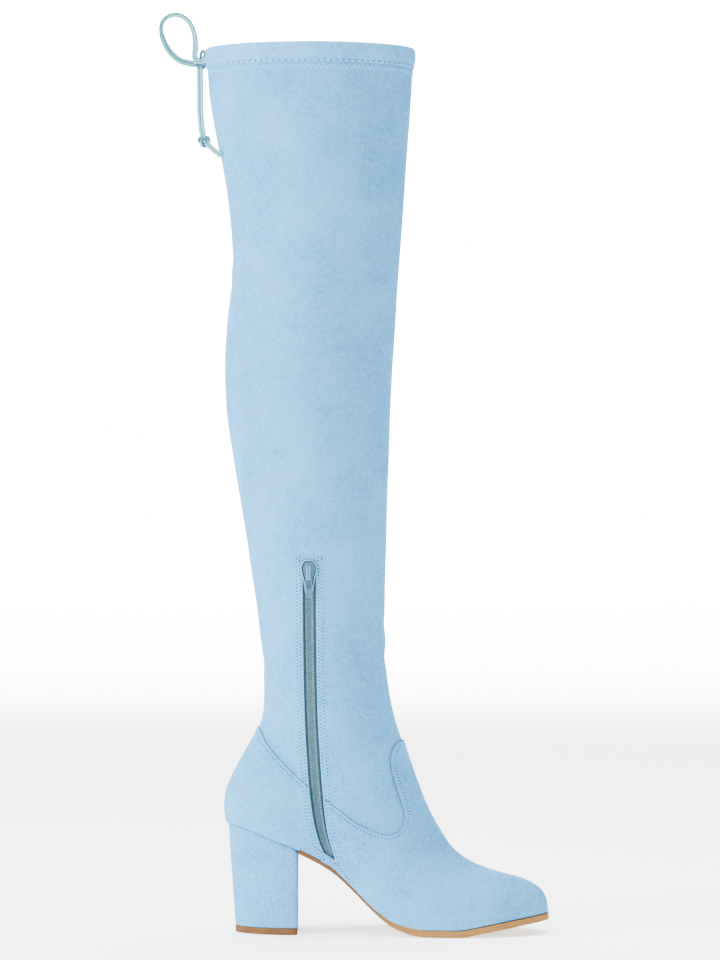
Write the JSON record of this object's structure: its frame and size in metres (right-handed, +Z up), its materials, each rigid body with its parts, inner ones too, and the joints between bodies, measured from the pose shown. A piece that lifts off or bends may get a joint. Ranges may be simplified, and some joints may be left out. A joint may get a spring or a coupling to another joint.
{
  "type": "thigh high boot",
  "caption": "Left thigh-high boot in soft suede with a block heel, a short inner side zip and a drawstring collar tied in a bow at the back.",
  "frame": {"origin": "middle of the heel's tread, on the floor", "axes": "+X from heel to toe, -Y towards the inner side of the foot with the zip, +Z up the shaft"},
  "size_m": [0.2828, 0.1082, 0.6695],
  "materials": {
    "suede": "matt brushed nap",
    "lace_suede": "matt brushed nap",
    "lining": "matt knit",
    "sole_leather": "satin edge",
    "lift_rubber": "matt",
    "zip_fabric": "woven tape",
    "zip_teeth": "satin",
    "zip_metal": "satin enamel"
  },
  "bodies": {
    "boot": {"upper": "suede", "vamp_panel": "suede", "counter_panel": "suede", "collar_casing": "suede", "heel_block": "suede", "top_lift": "lift_rubber", "outsole": "sole_leather", "insole": "lining", "zip_tape": "zip_fabric", "zip_chain": "zip_teeth", "zip_slider": "zip_metal", "bow_knot": "lace_suede", "bow_loop_inner": "lace_suede", "bow_loop_outer": "lace_suede", "lace_end_inner": "lace_suede", "lace_end_outer": "lace_suede", "end_knot_inner": "lace_suede", "end_knot_outer": "lace_suede", "lace_tip_inner": "lace_suede", "lace_tip_outer": "lace_suede"},
    "pull": {"zip_pull": "zip_metal"}
  },
  "joints": [
    {"name": "pull_swing", "type": "hinge", "parent": "boot", "child": "pull", "pos_m": [0.03094, -0.04201, 0.25927], "axis": [-0.9943, 0.1068, 0], "range_deg": [0, 170]}
  ]
}
